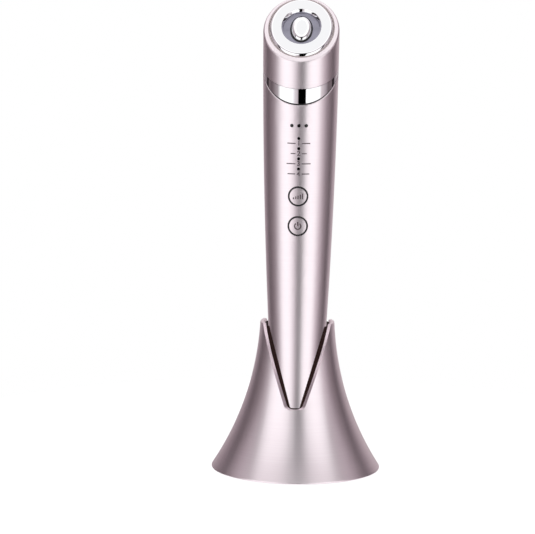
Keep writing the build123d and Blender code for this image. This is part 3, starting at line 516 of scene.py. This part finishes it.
@dataclass
class Studio:
    """White room, small white table top and a round light tent with a slot in front and dark sides."""

    tent_radius: float = 0.6
    tent_low: float = -0.3
    tent_high: float = 1.35
    cloth_strength: float = 1.24
    room_light: float = 0.8  # of the white room on the object, where 1 is the white that is seen
    floor_radius: float = 0.16
    floor_paint: tuple[float, float, float, float] = (0.5, 0.5, 0.5, 1.0)
    floor_glow: float = 0.78  # share of white that the table top shows by itself
    bands: tuple[ClothBand, ...] = (
        ClothBand(-0.3, -0.3, (
            (-180, "#C0B6B8"), (-160, "#B0A4A8"), (-140, "#887C80"), (-125, "#70646A"), (-123, "#201A1C"),
            (-115, "#201A1C"), (-112, "#6A5E62"), (-98, "#5A4E52"), (-88, "#74686C"), (-72, "#A0969A"),
            (-61, "#FFFFFF"), (-24, "#FFFFFF"), (-15, "#CCC4C8"), (-6, "#ACA2A6"), (-5, "#000000"),
            (17.8, "#000000"), (19, "#FFFFFF"), (61, "#FFFFFF"), (69, "#C8BCC0"), (85, "#988C92"),
            (95, "#64585C"), (112, "#6A5E62"), (114, "#201A1C"), (124, "#201A1C"), (126, "#746870"),
            (136, "#988C90"), (148, "#B0A6A8"), (162, "#B8AEB0"), (180, "#C0B6B8"),
        )),
        ClothBand(0.16, 0.3, (
            (-180, "#C8BEC0"), (-150, "#A4989C"), (-126, "#7A6E72"), (-124, "#201A1C"), (-114, "#201A1C"),
            (-112, "#7A6E72"), (-92, "#A89CA2"), (-79, "#C0B6BA"), (-78, "#201A1C"), (-68, "#201A1C"),
            (-66, "#FFFFFF"), (-6, "#FFFFFF"), (-5, "#000000"), (17.8, "#000000"), (19, "#FFFFFF"),
            (66, "#FFFFFF"), (68, "#201A1C"), (78, "#201A1C"), (79, "#C0B6BA"), (92, "#A89CA2"),
            (112, "#7A6E72"), (114, "#201A1C"), (124, "#201A1C"), (126, "#7A6E72"), (150, "#A4989C"),
            (180, "#C8BEC0"),
        )),
        ClothBand(0.5, 0.62, (
            (-180, "#FFFFFF"), (-150, "#F4EEF0"), (-100, "#B0A6AA"), (-24, "#A89EA2"), (-8, "#2A2428"),
            (19, "#2A2428"), (30, "#A89EA2"), (100, "#A0969A"), (150, "#D8D0D4"), (180, "#FFFFFF"),
        )),
        ClothBand(0.82, 0.92, ((-180, "#FFFFFF"), (180, "#FFFFFF"))),
    )

    def build(self) -> None:
        """Makes the world, the floor and the tent."""
        self.world()
        self.floor()
        self.tent()
        bpy.context.scene.view_settings.view_transform = "Standard"

    def seen(self, tree: bpy.types.NodeTree) -> bpy.types.NodeSocket:
        """Returns 1 for a camera, glossy or transmission ray, and 0 for any other."""
        path = add_node(tree, "ShaderNodeLightPath").outputs
        shiny = add_node(
            tree, "ShaderNodeMath", {0: path["Is Camera Ray"], 1: path["Is Glossy Ray"]}, operation="MAXIMUM"
        )
        clear = add_node(
            tree, "ShaderNodeMath", {0: shiny.outputs[0], 1: path["Is Transmission Ray"]}, operation="MAXIMUM"
        )
        return clear.outputs[0]

    def world(self) -> None:
        """Makes a white surround that lights the scene softly."""
        world = bpy.data.worlds.new("white_room")
        world.use_nodes = True
        tree = world.node_tree
        tree.nodes.clear()
        shown = add_node(tree, "ShaderNodeBackground", {"Color": WHITE, "Strength": 1.0})
        lit = add_node(tree, "ShaderNodeBackground", {"Color": WHITE, "Strength": self.room_light})
        mix = add_node(
            tree, "ShaderNodeMixShader", {0: self.seen(tree), 1: lit.outputs[0], 2: shown.outputs[0]}
        )
        add_node(tree, "ShaderNodeOutputWorld", {"Surface": mix.outputs[0]})
        bpy.context.scene.world = world

    def floor(self) -> None:
        """Makes the round white table top, which keeps the stand's soft shadow."""
        shape = bmesh.new()
        bmesh.ops.create_circle(shape, cap_ends=True, segments=ROUND_STEPS, radius=self.floor_radius)
        material = blank_material("white_table_top")
        tree = material.node_tree
        paint = add_node(tree, "ShaderNodeBsdfDiffuse", {"Color": self.floor_paint})
        glow = add_node(tree, "ShaderNodeEmission", {"Color": WHITE, "Strength": self.seen(tree)})
        dim = add_node(tree, "ShaderNodeMixShader", {0: self.floor_glow, 2: glow.outputs[0]})
        both = add_node(tree, "ShaderNodeAddShader", {0: paint.outputs[0], 1: dim.outputs[0]})
        add_node(tree, "ShaderNodeOutputMaterial", {"Surface": both.outputs[0]})
        table = add_object("table_top", shape, material)
        table.visible_glossy = False

    def tent(self) -> None:
        """Makes the tent: white cloth on both sides, dark slots at the camera and at the sides."""
        shape = bmesh.new()
        edge = shape.verts.new((self.tent_radius, 0.0, self.tent_low))
        top = shape.verts.new((self.tent_radius, 0.0, self.tent_high))
        line = shape.edges.new((edge, top))
        bmesh.ops.spin(
            shape, geom=[edge, top, line], cent=(0, 0, 0), axis=(0, 0, 1), angle=math.tau,
            steps=ROUND_STEPS, use_merge=True,
        )
        material = blank_material("tent_cloth")
        tree = material.node_tree
        apart = add_node(
            tree, "ShaderNodeSeparateXYZ", {0: add_node(tree, "ShaderNodeTexCoord").outputs["Object"]}
        ).outputs
        front = add_node(tree, "ShaderNodeMath", {0: apart["Y"], 1: -1.0}, operation="MULTIPLY").outputs[0]
        angle = add_node(tree, "ShaderNodeMath", {0: apart["X"], 1: front}, operation="ARCTAN2").outputs[0]
        turned = add_node(
            tree, "ShaderNodeMapRange", {"Value": angle, "From Min": -math.pi, "From Max": math.pi}
        ).outputs[0]
        cloth = None
        for band in self.bands:
            ramp = add_node(tree, "ShaderNodeValToRGB", {0: turned})
            set_ramp(ramp, [((degrees + 180) / 360, code) for degrees, code in band.colours])
            if cloth is None:
                cloth = ramp.outputs[0]
                continue
            climb = add_node(
                tree, "ShaderNodeMapRange",
                {"Value": apart["Z"], "From Min": band.begins, "From Max": band.full},
                interpolation_type="SMOOTHSTEP",
            )
            cloth = add_node(
                tree, "ShaderNodeMix",
                {"Factor": climb.outputs[0], MIX_A: cloth, MIX_B: ramp.outputs[0]}, data_type="RGBA",
            ).outputs[MIX_RESULT]
        glow = add_node(tree, "ShaderNodeEmission", {"Color": cloth, "Strength": self.cloth_strength})
        add_node(tree, "ShaderNodeOutputMaterial", {"Surface": glow.outputs[0]})
        tent = add_object("light_tent", shape, material)
        tent.visible_camera = False
        tent.visible_shadow = False


# The object's own sub-assemblies


def finished(name: str, shape: bmesh.types.BMesh, finish: Finish, body: str) -> bpy.types.Object:
    """Turns a bmesh into a named piece that rides on a body.

    Args:
        name: The piece's name.
        shape: Its mesh, in metres and in place. It is freed.
        finish: The finish that it gets.
        body: The CAD body that it moves with.

    Returns:
        The new object.
    """
    piece = add_object(name, shape, finish.material())
    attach(piece, body)
    log.info("made %s, %d faces, on %s", name, len(piece.data.polygons), body)
    return piece


def dress(finish: Finish, *nodes: str) -> None:
    """Gives CAD nodes a finish.

    Args:
        finish: The finish that they get.
        nodes: Names of the CAD nodes.
    """
    for name in nodes:
        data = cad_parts[name].data
        data.materials.clear()
        data.materials.append(finish.material())
        log.info("dressed %s in %s", name, finish.name)


def middle(node: str) -> Vector:
    """Returns the middle of a CAD node's box."""
    low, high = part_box(node)
    return (Vector(low) + Vector(high)) / 2


@dataclass
class Stand:
    """Flared stand: notched metal shell with its dark lining, whose dark brown is painted shade in the gap
    round the wand, cup for the wand, weight and foot.
    """

    unmirrored: tuple[str, ...] = ("stand_shell", "stand_liner", "stand_cradle")

    def build(self) -> None:
        """Dresses the stand, and keeps it out of the reflections in the wand that stands in it."""
        dress(SATIN_METAL, "stand_shell")
        # the lining's dark is painted shade along the notches
        dress(SHADE_LINING, "stand_liner")
        dress(BLACK_ABS, "stand_cradle", "stand_base_plate")
        dress(RUBBER_AND_SHADE, "stand_foot_ring")
        dress(STEEL, "stand_ballast", "stand_screws")
        for name in self.unmirrored:
            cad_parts[name].visible_glossy = False


@dataclass
class WandHead:
    """Slanted head with its rim, domed ring electrode, spun dish and egg-shaped centre electrode."""

    face_height: float = 157.34 * MM  # middle of the face, on the wand's axis
    face_tilt: float = 37.85  # degrees
    dish_drop: float = 0.8 * MM  # below the rim of the head
    egg_half_width: float = 3.55 * MM
    egg_half_length: float = 5.9 * MM
    # A dark ring round the foot of the egg paints the shade under its edge.
    gasket_width: float = 0.42 * MM
    gasket_height: float = 0.3 * MM
    gasket_overlap: float = 0.084 * MM  # how far it reaches under the egg
    gasket_rounding: float = 0.126 * MM
    # A dark ring in the groove under the collar paints the shadow line under its lower edge.
    groove_foot: float = 142.82 * MM  # foot of the groove under the collar, on the wand's axis
    groove_tilt: float = 40.6  # degrees
    groove_height: float = 0.5 * MM  # along the wand
    groove_rounding: float = 0.1 * MM
    groove_inner: float = 11.8 * MM
    groove_outer: float = 13.1 * MM
    groove_shift: float = 0.12 * MM  # towards the back, where the wand is wider
    rounding_steps: int = 3
    rim_turn: float = 0.5  # least difference between the slopes of the two faces that meet at a rim

    def build(self) -> None:
        """Dresses the head and the electrodes and seats the dark rings round the egg and under the collar,
        whose dark is painted shade.
        """
        dress(SATIN_METAL, "head_shell")
        dress(CHROME, "collar_wedge", "outer_electrode", "centre_electrode")
        dress(GASKET, "electrode_seal")
        seat = self.dish_place()
        axis = seat.to_3x3() @ Vector((0.0, 0.0, 1.0))
        dish = SpunDish("spun_nickel_dish", tuple(seat.translation), tuple(axis))
        dress(dish, "electrode_carrier")
        dress(STEEL, "electrode_nut", "carrier_screws")
        # the dark ring round the egg: painted shade
        sizes = [
            (self.egg_half_width + margin, self.egg_half_length + margin)
            for margin in (-self.gasket_overlap, self.gasket_width)
        ]
        egg = self.hoop(sizes, self.gasket_height, self.gasket_rounding)
        bmesh.ops.transform(egg, matrix=seat, verts=egg.verts)
        finished("egg_shade_ring", egg, RUBBER_AND_SHADE, "wand")
        # the dark ring under the collar: painted shadow line
        sizes = [(radius, radius) for radius in (self.groove_inner, self.groove_outer)]
        collar = self.hoop(sizes, self.groove_height, self.groove_rounding)
        slope = Matrix.Identity(4)
        slope[2][1] = math.tan(math.radians(self.groove_tilt))
        seat = slope @ Matrix.Translation((0.0, self.groove_shift, self.groove_foot))
        bmesh.ops.transform(collar, matrix=seat, verts=collar.verts)
        finished("collar_shade_ring", collar, RUBBER_AND_SHADE, "wand")

    def dish_place(self) -> Matrix:
        """Returns the place of the dish: its middle, with z square to the face and y up the slope."""
        face = Matrix.Translation((0.0, 0.0, self.face_height))
        tilt = Matrix.Rotation(math.radians(self.face_tilt), 4, "X")
        return face @ tilt @ Matrix.Translation((0.0, 0.0, -self.dish_drop))

    def hoop(self, sizes: Sequence[tuple[float, float]], height: float, rounding: float) -> bmesh.types.BMesh:
        """Makes a flat oval hoop that stands on the origin's level.

        Args:
            sizes: Half width and half length of its inner and of its outer edge.
            height: Its height.
            rounding: How far its upper edges are rounded.

        Returns:
            Its mesh.
        """
        shape = bmesh.new()
        loops = []
        for half_sizes in sizes:
            size = Matrix.Diagonal((*half_sizes, 1.0, 1.0))
            ring = bmesh.ops.create_circle(shape, segments=ROUND_STEPS, radius=1.0, matrix=size)["verts"]
            loops += {edge for vertex in ring for edge in vertex.link_edges}
        faces = bmesh.ops.bridge_loops(shape, edges=loops)["faces"]
        raised = bmesh.ops.extrude_face_region(shape, geom=faces)["geom"]
        top = [item for item in raised if isinstance(item, bmesh.types.BMVert)]
        bmesh.ops.translate(shape, verts=top, vec=(0.0, 0.0, height))
        rims = [item for item in raised if isinstance(item, bmesh.types.BMEdge) and self.is_rim(item)]
        bmesh.ops.bevel(
            shape, geom=rims, offset=rounding, segments=self.rounding_steps, profile=0.5, affect="EDGES",
            material=-1,
        )
        bmesh.ops.recalc_face_normals(shape, faces=shape.faces)
        return shape

    def is_rim(self, edge: bmesh.types.BMEdge) -> bool:
        """Says whether an edge lies between a level face and an upright one."""
        slopes = [face.normal.z for face in edge.link_faces]
        return len(slopes) == 2 and abs(slopes[0] - slopes[1]) > self.rim_turn


class Sign(Enum):
    """Generic sign on a button."""

    RISING_BARS = "rising_bars"
    POWER_RING = "power_ring"


@dataclass
class ControlPanel:
    """Two round buttons in dark rings, seven lights and the marks printed beside them."""

    film: float = 0.02 * MM  # thickness of the printed ink
    line: float = 0.34 * MM
    light_rise: float = 9.7 * MM  # lowest light of the column above the level button
    light_pitch: float = 3.6 * MM
    label_drop: float = 1.75 * MM  # below its light
    numeral_height: float = 1.6 * MM
    numeral_swell: float = 0.05 * MM  # thickens the strokes
    dash_start: float = 1.1 * MM  # from the middle of the numeral
    dash_ends: tuple[float, ...] = (4.0 * MM, 2.8 * MM, 4.2 * MM, 3.8 * MM)  # of each row, from the top
    bar_heights: tuple[float, ...] = (0.6 * MM, 0.95 * MM, 1.3 * MM, 1.65 * MM, 2.0 * MM)
    bar_pitch: float = 0.8 * MM
    bar_width: float = 0.42 * MM
    ring_radius: float = 1.1 * MM
    ring_line: float = 0.44 * MM
    ring_opening: float = 70.0  # degrees
    ring_steps: int = 40
    stem_length: float = 1.5 * MM
    stem_inside: float = 0.75  # share of the stem below the ring's line
    stripe_step: float = 0.3 * MM  # longest straight stretch of a stripe on the curved wand
    digit_share: float = 0.7  # height of a digit as a share of the font's size
    weld: float = 0.002 * MM  # points of a numeral that are nearer than this are one

    def build(self) -> None:
        """Dresses the buttons and lights and prints the marks."""
        dress(SATIN_METAL, "level_button_cap", "power_button_cap")
        dress(BLACK_ABS, "button_guide", "level_switch_plunger", "power_switch_plunger")
        dress(SMOKED, "level_light_guide", "mode_light_guide")
        self.button_sign(Sign.RISING_BARS, "level_button_cap", "level_button")
        self.button_sign(Sign.POWER_RING, "power_button_cap", "power_button")
        self.light_numbers()

    def settle(self, shape: bmesh.types.BMesh, skin: Skin, centre: Vector) -> None:
        """Lays a flat drawing on a curved skin and gives the ink its thickness.

        Args:
            shape: The drawing, with x across and y up, in metres.
            skin: The skin that it is printed on.
            centre: Where the drawing's origin goes.
        """
        for vertex in shape.verts:
            vertex.co = skin.front(centre.x + vertex.co.x, centre.z + vertex.co.y)
        raised = bmesh.ops.extrude_face_region(shape, geom=list(shape.faces))["geom"]
        front = [item for item in raised if isinstance(item, bmesh.types.BMVert)]
        bmesh.ops.translate(shape, verts=front, vec=(0.0, -self.film, 0.0))
        bmesh.ops.recalc_face_normals(shape, faces=shape.faces)

    def stripe(
        self, shape: bmesh.types.BMesh, centre: tuple[float, float], size: tuple[float, float]
    ) -> None:
        """Adds an upright or level stripe, divided finely enough to follow the wand.

        Args:
            shape: The drawing that it is added to.
            centre: Its middle.
            size: Its width and height.
        """
        columns, rows = (max(1, round(side / self.stripe_step)) for side in size)
        place = Matrix.Translation((*centre, 0.0)) @ Matrix.Diagonal((size[0] / 2, size[1] / 2, 1.0, 1.0))
        bmesh.ops.create_grid(shape, x_segments=columns, y_segments=rows, size=1.0, matrix=place)

    def button_sign(self, sign: Sign, cap: str, body: str) -> None:
        """Prints a button's sign.

        Args:
            sign: Which sign it gets.
            cap: The CAD node of the button's cap.
            body: The body that the button belongs to.
        """
        shape = bmesh.new()
        if sign is Sign.RISING_BARS:
            foot = -max(self.bar_heights) / 2
            for index, height in enumerate(self.bar_heights):
                across = (index - (len(self.bar_heights) - 1) / 2) * self.bar_pitch
                self.stripe(shape, (across, foot + height / 2), (self.bar_width, height))
        else:
            open_half = math.radians(self.ring_opening) / 2
            arm = Vector((math.sin(open_half), math.cos(open_half), 0.0))
            ends = [shape.verts.new(arm * (self.ring_radius + side * self.ring_line / 2)) for side in (-1, 1)]
            bmesh.ops.spin(
                shape, geom=[*ends, shape.edges.new(ends)], cent=(0, 0, 0), axis=(0, 0, 1),
                angle=2 * open_half - math.tau, steps=self.ring_steps,
            )
            stem_middle = self.ring_radius - self.stem_length * (self.stem_inside - 0.5)
            self.stripe(shape, (0.0, stem_middle), (self.ring_line, self.stem_length))
        self.settle(shape, Skin(cap), middle(cap))
        finished(f"{body}_{sign.value}", shape, PANEL_INK, body)

    def light_numbers(self) -> None:
        """Prints a number between two dashes under each light of the column."""
        skin = Skin("handle_shell")
        lowest = middle("level_button_cap").z + self.light_rise
        for number, end in enumerate(self.dash_ends, start=1):
            height = lowest + (len(self.dash_ends) - number) * self.light_pitch
            shape = self.numeral(str(number))
            for side in (-1, 1):
                across = side * (self.dash_start + end) / 2
                self.stripe(shape, (across, 0.0), (end - self.dash_start, self.line))
            self.settle(shape, skin, Vector((0.0, 0.0, height - self.label_drop)))
            finished(f"mode_number_{number}", shape, PANEL_INK, "wand")

    def numeral(self, text: str) -> bmesh.types.BMesh:
        """Draws a numeral centred on the origin.

        Args:
            text: The numeral.

        Returns:
            Its flat mesh.
        """
        curve = bpy.data.curves.new("numeral", "FONT")
        curve.body = text
        curve.size = self.numeral_height / self.digit_share
        curve.align_x, curve.align_y = "CENTER", "CENTER"
        curve.offset = self.numeral_swell
        letter = bpy.data.objects.new("numeral", curve)
        mesh = bpy.data.meshes.new_from_object(letter)
        shape = bmesh.new()
        shape.from_mesh(mesh)
        bpy.data.objects.remove(letter)
        bpy.data.curves.remove(curve)
        bpy.data.meshes.remove(mesh)
        bmesh.ops.remove_doubles(shape, verts=shape.verts, dist=self.weld)
        return shape


@dataclass
class WandBody:
    """Conical metal handle, its tail cap and charging socket."""

    def build(self) -> None:
        """Dresses the handle and the tail."""
        dress(SATIN_METAL, "handle_shell")
        dress(BLACK_ABS, "tail_cap")
        dress(STEEL, "charge_socket")
        dress(BOARD, "charge_board")


@dataclass(frozen=True)
class Chip:
    """One surface-mounted part: its middle across and up the board, its size and its legs on each side."""

    across: float
    height: float
    width: float
    length: float
    thickness: float
    legs: int = 0  # a part without legs has a metal cap at each end


@dataclass
class Innards:
    """Chassis, battery, boards with their chips, transformer and wires inside the wand."""

    main_back: float = -4.2 * MM  # y of the main board's back side
    rf_front: float = 2.5 * MM  # y of the output board's front side
    leg_width: float = 0.24 * MM
    leg_reach: float = 0.55 * MM
    leg_thickness: float = 0.14 * MM
    cap_length: float = 0.3 * MM
    edge: float = 0.06 * MM  # how much a block's edges are rounded, and how much larger its caps are
    edge_steps: int = 2
    main_chips: tuple[Chip, ...] = (
        Chip(0.0, 105.0 * MM, 5.0 * MM, 5.0 * MM, 1.0 * MM, 7),
        Chip(-4.6 * MM, 97.5 * MM, 1.7 * MM, 3.0 * MM, 1.1 * MM, 3),
        Chip(4.2 * MM, 96.5 * MM, 2.4 * MM, 3.2 * MM, 1.2 * MM, 4),
        Chip(-5.2 * MM, 104.0 * MM, 0.8 * MM, 1.6 * MM, 0.7 * MM),
        Chip(-5.2 * MM, 107.0 * MM, 0.8 * MM, 1.6 * MM, 0.7 * MM),
        Chip(5.0 * MM, 104.5 * MM, 0.8 * MM, 1.6 * MM, 0.7 * MM),
        Chip(5.0 * MM, 108.0 * MM, 1.2 * MM, 2.0 * MM, 0.9 * MM),
        Chip(0.2 * MM, 112.0 * MM, 1.2 * MM, 2.0 * MM, 0.9 * MM),
        Chip(-2.6 * MM, 112.0 * MM, 0.8 * MM, 1.6 * MM, 0.7 * MM),
        Chip(0.0, 98.0 * MM, 0.8 * MM, 1.6 * MM, 0.7 * MM),
    )
    rf_chips: tuple[Chip, ...] = (
        Chip(-3.6 * MM, 101.0 * MM, 3.4 * MM, 4.2 * MM, 1.2 * MM, 4),
        Chip(3.6 * MM, 101.0 * MM, 3.4 * MM, 4.2 * MM, 1.2 * MM, 4),
        Chip(0.0, 96.0 * MM, 3.2 * MM, 4.4 * MM, 2.2 * MM),
        Chip(5.2 * MM, 94.5 * MM, 0.8 * MM, 1.6 * MM, 0.7 * MM),
        Chip(-5.2 * MM, 94.5 * MM, 0.8 * MM, 1.6 * MM, 0.7 * MM),
        Chip(-5.4 * MM, 107.0 * MM, 0.8 * MM, 1.6 * MM, 0.7 * MM),
        Chip(5.4 * MM, 107.0 * MM, 0.8 * MM, 1.6 * MM, 0.7 * MM),
    )
    yoke_height: float = 1.8 * MM
    limb_width: float = 1.4 * MM
    coil_radius: float = 1.8 * MM
    coil_wire: float = 0.17 * MM
    coil_margin: float = 0.34 * MM  # from the yoke to the middle of the first turn
    coil_turns: int = 15
    turn_steps: int = 24
    wire_sides: int = 8
    core_sides: int = 32

    def build(self) -> None:
        """Dresses the hidden pieces, fits the boards and winds the transformer."""
        dress(BLACK_ABS, "inner_chassis", "level_switch", "power_switch")
        dress(BOARD, "main_board", "rf_board")
        dress(SLEEVE, "battery_cell")
        dress(INSULATION, "battery_leads", "electrode_leads")
        dress(LED_EPOXY, "leds")
        dress(STEEL, "chassis_screws")
        self.fit_board("main_board", self.main_back, 1, self.main_chips)
        self.fit_board("rf_board", self.rf_front, -1, self.rf_chips)
        self.transformer()

    def block(self, shape: bmesh.types.BMesh, middle_of: Vector, size: Vector) -> None:
        """Adds a block to a mesh."""
        place = Matrix.Translation(middle_of) @ Matrix.Diagonal((*size, 1.0))
        bmesh.ops.create_cube(shape, size=1.0, matrix=place)

    def round_off(self, shape: bmesh.types.BMesh) -> None:
        """Rounds every edge of a mesh of blocks a little."""
        bmesh.ops.bevel(
            shape, geom=list(shape.edges), offset=self.edge, segments=self.edge_steps, profile=0.5,
            affect="EDGES", material=-1,
        )

    def fit_board(self, board: str, depth: float, facing: int, chips: Sequence[Chip]) -> None:
        """Fits the chips and their soldered contacts on one side of a board.

        Args:
            board: The CAD node of the board.
            depth: Where that side lies.
            facing: 1 where it faces the back of the wand, -1 where it faces the buttons.
            chips: The parts on it.
        """
        bodies, contacts = bmesh.new(), bmesh.new()
        leg = Vector((self.leg_reach, self.leg_thickness, self.leg_width))
        clearance = Vector((self.edge, self.edge, self.edge))
        for chip in chips:
            seat = Vector((chip.across, depth + facing * chip.thickness / 2, chip.height))
            self.block(bodies, seat, Vector((chip.width, chip.thickness, chip.length)))
            for side in (-1, 1):
                if chip.legs:
                    across = chip.across + side * (chip.width + self.leg_reach) / 2
                    leg_depth = depth + facing * self.leg_thickness / 2
                    for index in range(chip.legs):
                        rise = ((index + 0.5) / chip.legs - 0.5) * chip.length
                        foot = Vector((across, leg_depth, chip.height + rise))
                        self.block(contacts, foot, leg)
                else:
                    end = Vector((0.0, 0.0, side * (chip.length - self.cap_length) / 2))
                    cap = Vector((chip.width, chip.thickness, self.cap_length)) + clearance
                    self.block(contacts, seat + end, cap)
        self.round_off(bodies)
        finished(f"{board}_chips", bodies, CHIP, "wand")
        finished(f"{board}_contacts", contacts, TINNED, "wand")

    def transformer(self) -> None:
        """Replaces the plain block by a ferrite frame round a coil of copper wire."""
        low, high = (Vector(corner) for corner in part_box("rf_transformer"))
        size, centre = high - low, (low + high) / 2
        frame_shape, coil = bmesh.new(), bmesh.new()
        window = size.z - 2 * self.yoke_height
        for side in (-1, 1):
            yoke = Vector((0.0, 0.0, side * (size.z - self.yoke_height) / 2))
            self.block(frame_shape, centre + yoke, Vector((size.x, size.y, self.yoke_height)))
            limb = Vector((side * (size.x - self.limb_width) / 2, 0.0, 0.0))
            self.block(frame_shape, centre + limb, Vector((self.limb_width, size.y, window)))
        core_radius = self.coil_radius - self.coil_wire
        bmesh.ops.create_cone(
            frame_shape, cap_ends=True, segments=self.core_sides, radius1=core_radius, radius2=core_radius,
            depth=window, matrix=Matrix.Translation(centre),
        )
        self.round_off(frame_shape)
        core_piece = finished("transformer_core", frame_shape, FERRITE, "wand")
        rise = window - 2 * self.coil_margin
        start = Matrix.Translation(centre + Vector((self.coil_radius, 0.0, -rise / 2)))
        turned = start @ Matrix.Rotation(math.radians(90), 4, "X")
        ring = bmesh.ops.create_circle(
            coil, segments=self.wire_sides, radius=self.coil_wire, matrix=turned
        )["verts"]
        edges = list({edge for vertex in ring for edge in vertex.link_edges})
        steps = self.turn_steps * self.coil_turns
        bmesh.ops.spin(
            coil, geom=[*ring, *edges], cent=centre, axis=(0, 0, 1), dvec=(0.0, 0.0, rise / steps),
            angle=math.tau * self.coil_turns, steps=steps,
        )
        bmesh.ops.holes_fill(coil, edges=coil.edges)
        bmesh.ops.recalc_face_normals(coil, faces=coil.faces)
        coil_piece = finished("transformer_coil", coil, COPPER, "wand")
        for piece in (core_piece, coil_piece):
            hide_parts("rf_transformer")


def main() -> None:
    """Builds the studio and every sub-assembly in order."""
    logging.basicConfig(level=logging.INFO, format="%(name)s: %(message)s")
    for part in (PhotoCamera(), Studio(), Stand(), WandBody(), WandHead(), ControlPanel(), Innards()):
        log.info("building %s", type(part).__name__)
        part.build()


if __name__ == "__main__":
    main()
